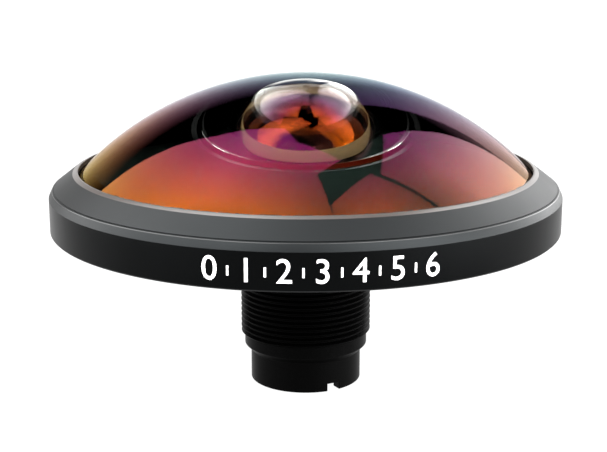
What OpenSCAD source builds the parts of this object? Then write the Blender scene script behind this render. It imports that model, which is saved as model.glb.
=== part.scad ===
// Fisheye lens: a deep glass dome held by a screwed front ring in a wide cell, carried on a slim
// M12 barrel that holds the rest of the optics and ends in a spigot with two spanner notches.
// Millimetres. +Z runs along the optical axis towards the dome, and the rear end face is at z = 0.

/* [Front dome] */
// Diameter over the dome's ground edge
dome_od = 41.4; // [39:0.1:46]
// Radius of the dome's outer face
dome_radius = 28.15; // [26:0.05:34]
// Height of the dome's ground edge
dome_edge = 0.95; // [0.8:0.05:1.6]
// Height of the hollow's centre above the dome's flat back
hollow_rise = 0.1; // [0:0.05:0.6]
// Bevel round the mouth of the hollow
mouth_bevel = 0.3; // [0.1:0.05:0.6]
// Bevel on the lower corner of the dome's edge
edge_bevel = 0.3; // [0.1:0.05:0.6]

/* [Front ring] */
// Wall of the ring's skirt
ring_wall = 1.55; // [1.2:0.05:3]
// Height of the plain band round the ring
band_h = 3.1; // [2:0.1:3.8]
// Width of the narrow chamfer above the band
ring_chamfer_w = 0.55; // [0.2:0.05:1]
// Height of the narrow chamfer above the band
ring_chamfer_h = 0.5; // [0.2:0.05:1]
// Reach of the ring's lip over the dome
lip_overlap = 0.35; // [0.25:0.05:1]
// Height of the lip's inner edge
lip_h = 0.2; // [0.1:0.05:0.6]
// Width of the flat on top of the lip
lip_land = 0.12; // [0.05:0.01:0.4]
// Broken edge under the band
ring_break = 0.15; // [0.05:0.05:0.4]

/* [Front cell] */
// Thickness of the cell from its underside to the dome's seat
cell_floor = 3.27; // [2.9:0.01:4.5]
// Height of the cell's underside above the ring's
cell_recess = 0.2; // [0:0.05:0.6]
// Wall of the rim that centres the dome
rim_wall = 0.65; // [0.5:0.05:1.2]
// Depth of the rim's top below the top of the dome's edge
rim_drop = 0.5; // [0.3:0.05:0.6]
// Width of the seat under the dome
seat_w = 3.4; // [2.6:0.1:5]
// Depth of the relief inside the seat
seat_relief = 0.3; // [0.1:0.05:0.6]

/* [Front seals] */
// Thickness of the gasket under the ring's lip
gasket_t = 0.15; // [0.1:0.01:0.3]
// Thickness of the round seal's cord
seal_cord = 0.9; // [0.6:0.05:1.2]
// Squeeze of the round seal under the dome
seal_squeeze = 0.15; // [0.05:0.01:0.3]
// Side room for the round seal in its groove
seal_room = 0.15; // [0.05:0.05:0.3]

/* [Barrel outside] */
// Length from the rear end to the ring's underside
stem_len = 14.73; // [13.6:0.01:20]
// Outside diameter of the mounting thread
thread_od = 11.95; // [11.6:0.01:12.2]
// Diameter of the rear spigot
spigot_od = 10.15; // [9.8:0.05:10.8]
// Length of the rear spigot
spigot_len = 2.8; // [1.5:0.1:4]
// Diameter of the step between spigot and thread
step_od = 11.3; // [11:0.05:11.5]
// Length of the step between spigot and thread
step_len = 0.6; // [0.3:0.05:1]
// Length of the thread's lead-in bevel
lead_len = 0.5; // [0.3:0.05:1]
// Diameter of the relief above the thread
relief_od = 11.1; // [10.8:0.05:11.5]
// Length of the relief above the thread
relief_len = 0.6; // [0.4:0.05:1]
// Diameter of the land that fits the cell
land_od = 12.5; // [12.3:0.05:13]
// Thickness of the barrel's head under the second lens
head_floor = 0.5; // [0.4:0.05:0.7]
// Depth of the head's top below the dome's back
head_drop = 0.1; // [0.05:0.05:0.2]
// Wall of the barrel's head
head_wall = 0.55; // [0.4:0.05:1]
// Width of the spanner notches in the spigot's end
notch_w = 1.2; // [0.8:0.05:2]
// Depth of the spanner notches in the spigot's end
notch_depth = 0.7; // [0.4:0.05:1.2]
// Bearing of the first notch about the optical axis
notch_angle = -60; // [-180:5:180]

/* [Second lens] */
// Diameter of the second lens's round front, which stands up into the dome's hollow
second_od = 13.72; // [12.8:0.02:14.4]
// Height of the front's centre above the second lens's seat
second_rise = 1.75; // [1.4:0.05:2.1]
// Width of the flange round the second lens
flange_w = 0.44; // [0.3:0.01:0.8]
// Height of the flange round the second lens
flange_h = 0.9; // [0.6:0.05:1.1]
// Width of the foot that the second lens stands on
foot_w = 1.1; // [0.8:0.05:1.4]
// Height of the second lens's flat back above its foot
second_recess = 1.55; // [1.2:0.05:1.8]
// Radius of the second lens's hollow back
second_back = 4.4; // [4:0.05:4.8]
// Clear diameter of the second lens's hollow back
second_back_clear = 7.5; // [6.8:0.1:7.8]
// Depth of the second lens's seat below the dome's back
second_sink = 1.8; // [1.5:0.05:2]
// Step of the retainer over the second lens's flange
retainer_step = 0.45; // [0.3:0.05:0.8]
// Room between the second lens and the dome's hollow
hollow_room = 0.54; // [0.4:0.01:1]

/* [Front group] */
// Diameter of the third and fourth lenses
front_group_od = 9.4; // [9:0.05:9.8]
// Wall of the spacers in the front group
front_spacer_wall = 0.7; // [0.5:0.05:1]
// Height of the third lens's ground edge
third_edge = 2.6; // [2.3:0.05:3]
// Radius of the third lens's front face
third_front = 25; // [18:0.5:60]
// Clear diameter of the third lens's front face
third_front_clear = 8.2; // [7:0.1:8.4]
// Radius of the third lens's hollow back
third_back = 3.9; // [3.6:0.05:5]
// Clear diameter of the third lens's hollow back
third_back_clear = 6.4; // [5.6:0.1:6.6]
// Length of the spacer between the third and fourth lenses
middle_spacer_len = 0.7; // [0.6:0.05:1.2]
// Height of the fourth lens's ground edge
fourth_edge = 1.2; // [0.9:0.05:1.5]
// Radius of the fourth lens's front face
fourth_front = 6.2; // [5.6:0.1:8]
// Clear diameter of the fourth lens's front face
fourth_front_clear = 7.8; // [6.4:0.1:7.9]
// Radius of the fourth lens's back face
fourth_back = 20; // [16:0.5:40]
// Clear diameter of the fourth lens's back face
fourth_back_clear = 6.4; // [5.6:0.1:6.8]

/* [Stop and rear group] */
// Diameter of the stop and the doublet
rear_group_od = 7.7; // [7.2:0.05:8]
// Wall of the spacers beside the stop
stop_spacer_wall = 0.5; // [0.4:0.05:0.8]
// Length of the spacer above the stop
upper_spacer_len = 0.4; // [0.3:0.05:0.8]
// Thickness of the aperture stop
stop_t = 0.15; // [0.08:0.01:0.3]
// Diameter of the stop's opening
stop_hole = 1.7; // [1:0.1:3]
// Length of the spacer below the stop
lower_spacer_len = 1.35; // [1.1:0.05:1.6]
// Height of the doublet's front edge
doublet_edge = 0.4; // [0.3:0.05:0.8]
// Radius of the doublet's front face
doublet_front = 7; // [6:0.1:9]
// Radius of the doublet's inner face
doublet_inner = 7; // [6:0.1:9]
// Thickness of the doublet's rear lens on its axis
doublet_rear_t = 0.7; // [0.5:0.05:1]
// Radius of the doublet's rear face
doublet_rear = 10; // [8:0.5:16]
// Clear diameter of the doublet's rear face
doublet_clear = 5.8; // [5:0.1:6.4]

/* [Tail] */
// Height of the doublet's seat above the rear end
seat_height = 5; // [4.7:0.05:5.4]
// Thickness of the web under the doublet
web_t = 0.4; // [0.3:0.05:0.6]
// Diameter of the rear lens and filter
tail_od = 8.1; // [7.4:0.1:8.4]
// Height of the rear lens's ground edge
rear_edge = 1.1; // [0.9:0.05:1.4]
// Radius of the rear lens's front face
rear_front = 9; // [8:0.5:14]
// Radius of the rear lens's back face
rear_back = 8; // [7.5:0.5:14]
// Wall of the spacer behind the rear lens
tail_spacer_wall = 0.7; // [0.5:0.05:0.9]
// Length of the spacer behind the rear lens
tail_spacer_len = 0.85; // [0.8:0.05:1.2]
// Thickness of the infrared filter
filter_t = 0.5; // [0.3:0.05:0.7]
// Height of the rear retaining ring
tail_ring_h = 1; // [0.7:0.05:1.1]
// Wall of the rear retaining ring
tail_ring_wall = 0.85; // [0.6:0.05:1]

/* [Fits] */
// Side clearance of a screwed or turning fit
fit_clear = 0.05; // [0.02:0.01:0.1]
// Side clearance of a lens or spacer in its bore
lens_clear = 0.03; // [0.01:0.01:0.05]
// Gap between curved faces that meet
face_gap = 0.04; // [0.02:0.01:0.1]
// Thickness of the cement in the doublet
cement_t = 0.02; // [0.01:0.01:0.05]
// Width of the spanner slots in the retaining rings
slot_w = 0.8; // [0.5:0.05:1.2]
// Depth of the spanner slots in the retaining rings
slot_depth = 0.35; // [0.2:0.05:0.5]

/* [Hidden] */
$fn = 128;
// A cutting tool reaches this far past the face that it opens
past = 1;

// Distance from a sphere's centre to the plane of a circle that lies on it
function rise(radius, half) = sqrt(radius * radius - half * half);

// Radii of the second lens and of the barrel's head, from the inside out
second_r = second_od / 2;
flange_r = second_r + flange_w;
second_bore = flange_r + lens_clear;
retainer_r = second_bore + retainer_step;
retainer_bore = retainer_r + fit_clear;
head_r = retainer_bore + head_wall;

// Radii of the dome, the cell's rim and the ring, from the inside out
dome_rim = dome_od / 2;
rim_bore = dome_rim + lens_clear;
rim_r = rim_bore + rim_wall;
ring_bore = rim_r + fit_clear;
ring_r = ring_bore + ring_wall;
lip_r = dome_rim - lip_overlap;

// Heights of the cell and the dome
cell_z = stem_len + cell_recess;
seat_z = cell_z + cell_floor;
dome_top = seat_z + dome_edge;
dome_centre = dome_top - rise(dome_radius, dome_rim);
mouth_r = second_r + hollow_room;
hollow_centre = seat_z + hollow_rise;
hollow_radius = sqrt(mouth_r * mouth_r + hollow_rise * hollow_rise);

// Heights and radii of the ring
band_top = stem_len + band_h;
shoulder_z = dome_top - rim_drop + face_gap * 4;
gasket_in = dome_radius + face_gap;
gasket_out = gasket_in + gasket_t;
lip_under = gasket_out + face_gap;
lip_top = dome_centre + rise(lip_under, lip_r) + lip_h;

// The round seal lies in the middle of the seat and is pressed flat by the dome
seal_r = dome_rim - seat_w / 2;
seal_z = seat_z + seal_squeeze - seal_cord / 2;
groove_z = seal_z - seal_cord / 2 - face_gap;
groove_half = seal_cord / 2 + seal_room;
relief_z = seat_z - seat_relief;

// Heights of the barrel, from the rear end upwards
spigot_r = spigot_od / 2;
step_r = step_od / 2;
thread_r = thread_od / 2;
land_r = land_od / 2;
land_bore = land_r + lens_clear;
step_z = spigot_len + step_r - spigot_r;
lead_z = step_z + step_len;
thread_z = lead_z + lead_len;
thread_top = cell_z - relief_len;
second_z = seat_z - second_sink;
flange_top = second_z + flange_h;
retainer_z = flange_top + face_gap;
head_z = second_z - head_floor;
head_top = seat_z - head_drop;
head_bore = head_r + lens_clear;

// Radii of the bores
front_group_r = front_group_od / 2;
front_bore = front_group_r + lens_clear;
rear_group_r = rear_group_od / 2;
rear_bore = rear_group_r + lens_clear;
tail_r = tail_od / 2;
tail_bore = tail_r + lens_clear;
web_r = doublet_clear / 2;

// Heights of the stack above the doublet's seat
doublet_vertex = seat_height + doublet_rear - rise(doublet_rear, web_r) + doublet_rear_t;
inner_centre = doublet_vertex + doublet_inner;
inner_rim = inner_centre - rise(doublet_inner, rear_group_r);
doublet_top = inner_rim + doublet_edge;
stop_z = doublet_top + lower_spacer_len;
stop_top = stop_z + stop_t;
fourth_z = stop_top + upper_spacer_len;
fourth_top = fourth_z + fourth_edge;
third_z = fourth_top + middle_spacer_len;
third_top = third_z + third_edge;

// Heights of the stack below the web
web_z = seat_height - web_t;
rear_z = web_z - rear_edge;
filter_top = rear_z - tail_spacer_len;
filter_z = filter_top - filter_t;
tail_ring_z = filter_z - tail_ring_h;
rear_front_clear = web_r - face_gap;
rear_back_clear = tail_r - tail_spacer_wall - face_gap;

// A round slice between two heights
module disc(radius, low, high) {
    translate([0, 0, low]) cylinder(r = radius, h = high - low);
}

// A sphere centred on the optical axis
module ball(radius, z) {
    translate([0, 0, z]) sphere(r = radius);
}

// A piece turned about the optical axis from an outline in radius and height
module turned(outline) {
    rotate_extrude() polygon(outline);
}

// A spherical crown that stands on a flat rim at height z, rooted in the lens below it
module crown(radius, half, z, root) {
    intersection() {
        ball(radius, z - rise(radius, half));
        disc(half, z - root, z + radius);
    }
}

// The same crown, hanging below the rim
module crown_below(radius, half, z, root) {
    intersection() {
        ball(radius, z + rise(radius, half));
        disc(half, z - radius, z + root);
    }
}

// A slot across the optical axis that cuts both sides of a ring
module slot_across(radius, width, low, high, angle) {
    rotate([0, 0, angle])
        translate([-radius - past, -width / 2, low])
            cube([2 * (radius + past), width, high - low]);
}

// A spacer ring whose bore is stepped into a light trap
module spacer(outer, wall, low, high) {
    trap = wall / 4;
    third = (high - low) / 3;
    turned([
        [outer - wall, low], [outer, low], [outer, high], [outer - wall, high],
        [outer - wall, high - third], [outer - wall + trap, high - third],
        [outer - wall + trap, low + third], [outer - wall, low + third]
    ]);
}

// The screwed ring that holds the dome: a plain band, a narrow chamfer, a wide cone and a thin lip
module front_ring() {
    color("#2b2f31") difference() {
        turned([
            [ring_bore, stem_len], [ring_r - ring_break, stem_len], [ring_r, stem_len + ring_break],
            [ring_r, band_top], [ring_r - ring_chamfer_w, band_top + ring_chamfer_h],
            [lip_r + lip_land, lip_top], [lip_r, lip_top],
            [lip_r, shoulder_z], [ring_bore, shoulder_z]
        ]);
        intersection() {
            ball(lip_under, dome_centre);
            disc(ring_bore, shoulder_z - past, lip_top);
        }
    }
}

// The thin rubber gasket between the ring's lip and the dome, bevelled to the dome's slope
module front_gasket() {
    inner = lip_r + lip_land;
    color("#141414") turned([
        [inner, dome_centre + rise(gasket_in, inner)],
        [dome_rim, dome_centre + rise(gasket_in, dome_rim)],
        [dome_rim, dome_centre + rise(gasket_out, dome_rim)],
        [inner, dome_centre + rise(gasket_out, inner)]
    ]);
}

// The front dome: a sphere outside and a nearly half-round hollow behind
module front_dome() {
    bevel_r = mouth_r + mouth_bevel;
    color("#8a4a5a", 0.5) difference() {
        intersection() {
            ball(dome_radius, dome_centre);
            turned([
                [0, seat_z], [dome_rim - edge_bevel, seat_z], [dome_rim, seat_z + edge_bevel],
                [dome_rim, dome_centre + dome_radius], [0, dome_centre + dome_radius]
            ]);
        }
        intersection() {
            ball(hollow_radius, hollow_centre);
            disc(hollow_radius, seat_z - past, hollow_centre + hollow_radius);
        }
        turned([
            [0, seat_z - past], [bevel_r + past, seat_z - past],
            [bevel_r - mouth_bevel, seat_z + mouth_bevel], [0, seat_z + mouth_bevel]
        ]);
    }
}

// The round seal in the cell's seat, pressed flat under the dome
module dome_seal() {
    color("#1c1c1c") intersection() {
        rotate_extrude() translate([seal_r, seal_z]) circle(d = seal_cord);
        disc(dome_rim, groove_z, seat_z);
    }
}

// The wide cell: a dished disc with a rim round the dome and a bored hub for the barrel
module front_cell() {
    seat_in = dome_rim - seat_w;
    rim_top = dome_top - rim_drop;
    color("#17191a") turned([
        [land_bore, cell_z], [rim_r, cell_z], [rim_r, rim_top], [rim_bore, rim_top],
        [rim_bore, seat_z], [seal_r + groove_half, seat_z], [seal_r + groove_half, groove_z],
        [seal_r - groove_half, groove_z], [seal_r - groove_half, seat_z],
        [seat_in, seat_z], [seat_in, relief_z],
        [head_bore, relief_z], [head_bore, head_z], [land_bore, head_z]
    ]);
}

// The threaded barrel, dropped through the cell from the front until its head seats
module lens_barrel() {
    color("#101112") difference() {
        turned([
            [tail_bore, 0], [spigot_r, 0], [spigot_r, spigot_len], [step_r, step_z],
            [step_r, lead_z], [thread_r, thread_z], [thread_r, thread_top],
            [relief_od / 2, thread_top], [relief_od / 2, cell_z],
            [land_r, cell_z], [land_r, head_z], [head_r, head_z], [head_r, head_top],
            [retainer_bore, head_top], [retainer_bore, flange_top],
            [second_bore, flange_top], [second_bore, second_z], [front_bore, second_z],
            [front_bore, fourth_z], [rear_bore, fourth_z], [rear_bore, seat_height],
            [web_r, seat_height], [web_r, web_z], [tail_bore, web_z]
        ]);
        slot_across(spigot_r, notch_w, -past, notch_depth, notch_angle);
    }
}

// The second lens: a round front that stands up into the dome's hollow, a flange under the retainer,
// and a recessed flat back with a deep hollow in it
module second_lens() {
    front_z = second_z + second_rise;
    back_z = second_z + second_recess;
    color("#6a4a80", 0.5) difference() {
        union() {
            disc(flange_r, second_z, flange_top);
            intersection() {
                ball(second_r, front_z);
                disc(second_r + past, second_z + flange_h / 2, front_z + second_r);
            }
        }
        disc(flange_r - foot_w, second_z - past, back_z);
        ball(second_back, back_z - rise(second_back, second_back_clear / 2));
    }
}

// The slotted ring that screws into the barrel's head over the second lens's flange
module second_lens_retainer() {
    inner = second_r + fit_clear;
    color("#1d1e20") difference() {
        turned([
            [inner, retainer_z], [retainer_r, retainer_z], [retainer_r, head_top], [inner, head_top]
        ]);
        slot_across(retainer_r, slot_w, head_top - slot_depth, head_top + past, notch_angle);
    }
}

// The spacer that takes up the room left under the second lens
module front_spacer() {
    color("#1a1a1a") spacer(front_group_r, front_spacer_wall, third_top, second_z);
}

// The third lens: nearly flat in front and deeply hollow behind
module third_lens() {
    front_half = third_front_clear / 2;
    back_half = third_back_clear / 2;
    color("#5f7f86", 0.5) difference() {
        disc(front_group_r, third_z, third_top);
        ball(third_front, third_top + rise(third_front, front_half));
        ball(third_back, third_z - rise(third_back, back_half));
    }
}

// The spacer between the third and fourth lenses
module middle_spacer() {
    color("#1a1a1a") spacer(front_group_r, front_spacer_wall, fourth_top, third_z);
}

// The fourth lens: a thick convex lens that rests on the step in the barrel's bore
module fourth_lens() {
    root = fourth_edge / 2;
    color("#7f8f70", 0.5) union() {
        disc(front_group_r, fourth_z, fourth_top);
        crown(fourth_front, fourth_front_clear / 2, fourth_top, root);
        crown_below(fourth_back, fourth_back_clear / 2, fourth_z, root);
    }
}

// The spacer between the fourth lens and the stop
module upper_stop_spacer() {
    color("#1a1a1a") spacer(rear_group_r, stop_spacer_wall, stop_top, fourth_z);
}

// The aperture stop: a thin black disc with a round opening
module aperture_stop() {
    color("#0c0c0c") difference() {
        disc(rear_group_r, stop_z, stop_top);
        disc(stop_hole / 2, stop_z - past, stop_top + past);
    }
}

// The spacer between the stop and the doublet
module lower_stop_spacer() {
    color("#1a1a1a") spacer(rear_group_r, stop_spacer_wall, doublet_top, stop_z);
}

// The doublet's front lens, cemented into the hollow of the one behind it
module doublet_front_lens() {
    half = rear_group_r - stop_spacer_wall;
    root = doublet_edge / 2;
    color("#8a7f5a", 0.5) union() {
        intersection() {
            ball(doublet_inner - cement_t, inner_centre);
            disc(rear_group_r, doublet_vertex, doublet_top);
        }
        crown(doublet_front, half, doublet_top, root);
    }
}

// The doublet's rear lens, hollow on both faces
module doublet_rear_lens() {
    color("#6f8a7f", 0.5) difference() {
        disc(rear_group_r, seat_height, inner_rim);
        ball(doublet_inner, inner_centre);
        ball(doublet_rear, seat_height - rise(doublet_rear, web_r));
    }
}

// The rear lens: convex on both faces, seated from behind against the web
module rear_lens() {
    root = rear_edge / 2;
    color("#708a8f", 0.5) union() {
        disc(tail_r, rear_z, web_z);
        crown(rear_front, rear_front_clear, web_z, root);
        crown_below(rear_back, rear_back_clear, rear_z, root);
    }
}

// The spacer between the rear lens and the filter
module rear_spacer() {
    color("#1a1a1a") spacer(tail_r, tail_spacer_wall, filter_top, rear_z);
}

// The flat filter that cuts infrared light
module infrared_filter() {
    color("#7fb5b0", 0.5) disc(tail_r, filter_z, filter_top);
}

// The slotted ring that screws into the spigot behind the filter
module rear_retaining_ring() {
    color("#1d1e20") difference() {
        turned([
            [tail_r - tail_ring_wall, tail_ring_z], [tail_r, tail_ring_z],
            [tail_r, filter_z], [tail_r - tail_ring_wall, filter_z]
        ]);
        slot_across(tail_r, slot_w, tail_ring_z - past, tail_ring_z + slot_depth, notch_angle);
    }
}

front_ring();
front_gasket();
front_dome();
dome_seal();
front_cell();
lens_barrel();
second_lens();
second_lens_retainer();
front_spacer();
third_lens();
middle_spacer();
fourth_lens();
upper_stop_spacer();
aperture_stop();
lower_stop_spacer();
doublet_front_lens();
doublet_rear_lens();
rear_lens();
rear_spacer();
infrared_filter();
rear_retaining_ring();
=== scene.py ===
# Looks of the fisheye lens: coated glass, black anodised metal, cut threads and soft studio light
# Lengths are written in millimetres and turned to metres by MM; +Z is the optical axis
import math

import bmesh
import bpy
from mathutils import Matrix, Vector


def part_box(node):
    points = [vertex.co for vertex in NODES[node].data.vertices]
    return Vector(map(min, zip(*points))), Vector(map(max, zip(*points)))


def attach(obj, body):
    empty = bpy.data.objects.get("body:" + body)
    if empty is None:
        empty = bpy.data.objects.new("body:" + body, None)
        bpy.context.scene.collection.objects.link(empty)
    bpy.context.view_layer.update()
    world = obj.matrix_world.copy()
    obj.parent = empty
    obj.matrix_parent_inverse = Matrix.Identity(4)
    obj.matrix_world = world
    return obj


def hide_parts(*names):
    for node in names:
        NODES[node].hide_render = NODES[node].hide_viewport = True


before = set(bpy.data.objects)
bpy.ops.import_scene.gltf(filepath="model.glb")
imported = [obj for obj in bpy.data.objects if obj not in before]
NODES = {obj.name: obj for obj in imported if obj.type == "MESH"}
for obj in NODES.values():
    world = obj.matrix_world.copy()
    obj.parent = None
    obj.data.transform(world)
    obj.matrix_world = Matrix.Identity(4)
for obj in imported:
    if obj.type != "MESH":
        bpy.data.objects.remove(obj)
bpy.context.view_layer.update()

MM = 0.001
TURN = 2 * math.pi

# Points nearer to a face than this lie on it
TOUCH = 0.01

# Steps round the axis and along curves
ROUND_STEPS = 256
BARREL_ROUND = 192
LENS_ROUND = 128
THREAD_STEPS = 96
DOME_STEPS = 96
BACK_STEPS = 48
LENS_STEPS = 32
LIP_STEPS = 8
GASKET_STEPS = 6

# Distances within which points are merged
MERGE_PRINT = 0.001
MERGE_TURNED = 0.0005
MERGE_PIECE = 0.0003

# Front dome and second lens
DOME_RADIUS = 28.15
DOME_EDGE = 0.95
EDGE_BEVEL = 0.3
HOLLOW_RISE = 0.1
HOLLOW_ROOM = 0.54
HOLLOW_REACH = 0.1
MOUTH_BEVEL = 0.3
MOUTH_LINE = 0.01
WIPED_RING = 0.4
SECOND_RISE = 1.75
SECOND_BACK = 4.4
SECOND_BACK_HALF = 3.75
SECOND_RECESS = 1.55
FLANGE_W = 0.44
FLANGE_H = 0.9
FOOT_W = 1.1
BACK_TINT_H = 4.0

# Front ring and cell
RING_WALL = 1.55
BAND_H = 3.1
RING_CHAMFER_W = 0.3
RING_CHAMFER_H = 0.62
RING_BREAK = 0.15
LIP_R = 20.35
LIP_LAND = 0.12
LIP_NOSE = 0.08
NOSE_GAP = 0.12
BEAD_W = 0.36
BEAD_H = 0.19
GROOVE_UP = 0.05
GROOVE_W = 0.08
GROOVE_DEPTH = 0.06
RING_EDGE_R = 0.03
EDGE_GLINT = 0.05
GASKET_T = 0.15
FACE_GAP = 0.04
RIM_DROP = 0.5
RIM_BORE = 20.73
SEAT_W = 3.4
SEAT_RELIEF = 0.3
SEAL_CORD = 0.9
SEAL_ROOM = 0.15
CELL_PITCH = 0.5
CELL_THREAD_DEPTH = 0.22
CELL_FLANGE_H = 0.25
CELL_EDGE_R = 0.06
THREAD_FOOT = 0.3
THREAD_HEAD = 0.2
THREAD_GAP = 0.1

# Barrel
THREAD_R = 5.975
THREAD_ROOT = 5.66
THREAD_PITCH = 0.5
THREAD_HALF = 0.44
THREAD_FLAT = 1 / 16
THREAD_MIN = 0.05
BARREL_EDGE_R = 0.05
RETAINER_EDGE_R = 0.04
SPIGOT_R = 5.075
SPIGOT_LEN = 2.8
STEP_R = 5.65
STEP_LEN = 0.6
LEAD_LEN = 0.5
RELIEF_R = 5.55
RELIEF_LEN = 0.6
LAND_R = 6.25
HEAD_FLOOR = 0.5
HEAD_WALL = 0.55
RETAINER_STEP = 0.45
NOTCH_W = 1.2
NOTCH_DEPTH = 0.7
NOTCH_ANGLE = math.radians(-60)
SLOT_W = 0.8
SLOT_DEPTH = 0.35
CUT_PAST = 1.0
FIT_CLEAR = 0.05
LENS_CLEAR = 0.03
WEB_R = 2.9
WEB_T = 0.4
TAIL_RING_WALL = 0.85

# Printed scale on the ring's band
NUMERAL_SIZE = 2.7
NUMERAL_STEP = math.radians(7.2)
NUMERAL_TURN = math.radians(3.2)
NUMERAL_COUNT = 7
TICK_W = 0.16
TICK_H = 0.75
PRINT_T = 0.012
PRINT_FACET = 0.25
PRINT_CUTS = 60

# Camera, from the photograph's perspective
CAMERA_ELEVATION = math.radians(13.62)
CAMERA_DISTANCE = 119.34
CAMERA_AIM = 14.306
CAMERA_LENS = 77.26
SENSOR_W = 36.0
FRAME_W = 607
AXIS_PIXEL = 305.67

# Floor
FLOOR_R = 3000.0
FLOOR_ROUND = 64

# The dome's coat changes from side to side over this half width; a film's thickness at a straight and at a
# glancing view is given as a share of what is laid
COAT_WIDE = 20.0
FILM_STRAIGHT = 0.782
FILM_GLANCING = 1.436

# The lacquer's painted sheen of caught light fades to black between these distances in front of the axis
LACQUER_SHEEN_FULL = 8.0
LACQUER_SHEEN_GONE = 1.5


# Heights and radii read from the frame, in millimetres
def low(node):
    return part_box(node)[0].z / MM


def high(node):
    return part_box(node)[1].z / MM


def radius(node):
    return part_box(node)[1].x / MM


def rise(sphere, half):
    return math.sqrt(sphere * sphere - half * half)


def hex_colour(text):
    channels = [int(text[i:i + 2], 16) / 255 for i in (1, 3, 5)]
    linear = [c / 12.92 if c <= 0.04045 else ((c + 0.055) / 1.055) ** 2.4 for c in channels]
    return (*linear, 1.0)


# A texture scale whose features are about this many millimetres wide
def grain(size):
    return 1 / (size * MM)


# Adds a node to a material's tree, with a value or a link for each input named
def add(tree, kind, links=(), **settings):
    node = tree.nodes.new(kind)
    for name, value in settings.items():
        setattr(node, name, value)
    for socket, value in links:
        if isinstance(value, bpy.types.NodeSocket):
            tree.links.new(value, node.inputs[socket])
        else:
            node.inputs[socket].default_value = value
    return node


def new_material(name, **sockets):
    material = bpy.data.materials.new(name)
    material.use_nodes = True
    shader = material.node_tree.nodes["Principled BSDF"]
    for socket, value in sockets.items():
        shader.inputs[socket.replace("_", " ")].default_value = value
    return material, material.node_tree, shader


# Anodised aluminium, bead blasted or turned: black dye with a fine grain that breaks up the gloss. The grain
# is drawn coarser than the real one, so that it shows.
# light_tint tints the reflections: a painted tint standing in for the colour of the light
def anodised(name, dark, light, rough, level, grain_mm, relief_mm, light_tint="#ffffff"):
    material, tree, shader = new_material(name, Specular_Tint=hex_colour(light_tint))
    shader.inputs["Specular IOR Level"].default_value = level
    place = add(tree, "ShaderNodeTexCoord").outputs["Object"]
    blast = add(tree, "ShaderNodeTexNoise", [("Vector", place), ("Scale", grain(grain_mm)), ("Detail", 3.0)])
    cloud = add(tree, "ShaderNodeTexNoise", [("Vector", place), ("Scale", grain(7.0)), ("Detail", 4.0)])
    dye = add(tree, "ShaderNodeMix", [("Factor", blast.outputs["Fac"]), ("A", hex_colour(dark)),
                                      ("B", hex_colour(light))], data_type="RGBA")
    tree.links.new(dye.outputs["Result"], shader.inputs["Base Color"])
    gloss = add(tree, "ShaderNodeMapRange", [("Value", cloud.outputs["Fac"]), ("From Min", 0.3),
                                             ("From Max", 0.7), ("To Min", rough - 0.03),
                                             ("To Max", rough + 0.03)])
    tree.links.new(gloss.outputs["Result"], shader.inputs["Roughness"])
    relief = add(tree, "ShaderNodeBump", [("Height", blast.outputs["Fac"]), ("Strength", 0.5),
                                          ("Distance", relief_mm * MM)])
    tree.links.new(relief.outputs["Normal"], shader.inputs["Normal"])
    return material


# Polished optical glass under an antireflection coat. The coat is laid thinner on steep slopes, so its
# tint runs from violet on top to orange at the edge. A stack of layers shifts less with angle than one
# film does, so the film thickens with angle. It may be uneven to the left.
def coated_glass(name, ior, path_low, path_high, z_low, z_high, film_ior=1.25, uneven=0.0):
    material, tree, shader = new_material(name, Roughness=0.0, IOR=ior, Transmission_Weight=1.0,
                                          Thin_Film_IOR=film_ior)
    place = add(tree, "ShaderNodeTexCoord").outputs["Object"]
    axes = add(tree, "ShaderNodeSeparateXYZ", [("Vector", place)])
    path = add(tree, "ShaderNodeMapRange", [("Value", axes.outputs["Z"]), ("From Min", z_low * MM),
                                            ("From Max", z_high * MM), ("To Min", path_low),
                                            ("To Max", path_high)])
    side = add(tree, "ShaderNodeMapRange", [("Value", axes.outputs["X"]), ("From Min", -COAT_WIDE * MM),
                                            ("From Max", 0.0), ("To Min", 1 - uneven), ("To Max", 1.0)])
    facing = add(tree, "ShaderNodeLayerWeight", [("Blend", 0.5)]).outputs["Facing"]
    angle = add(tree, "ShaderNodeMapRange", [("Value", facing), ("To Min", FILM_STRAIGHT),
                                             ("To Max", FILM_GLANCING)])
    laid = add(tree, "ShaderNodeMath", [(0, path.outputs["Result"]), (1, side.outputs["Result"])],
               operation="MULTIPLY")
    film = add(tree, "ShaderNodeMath", [(0, laid.outputs["Value"]), (1, angle.outputs["Result"])],
               operation="MULTIPLY")
    patches = add(tree, "ShaderNodeTexNoise", [("Vector", place), ("Scale", grain(9.0)), ("Detail", 2.0)])
    drift = add(tree, "ShaderNodeMapRange", [("Value", patches.outputs["Fac"]), ("To Min", -4.0),
                                             ("To Max", 4.0)])
    patchy = add(tree, "ShaderNodeMath", [(0, film.outputs["Value"]), (1, drift.outputs["Result"])],
                 operation="ADD")
    tree.links.new(patchy.outputs["Value"], shader.inputs["Thin Film Thickness"])
    return material
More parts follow.
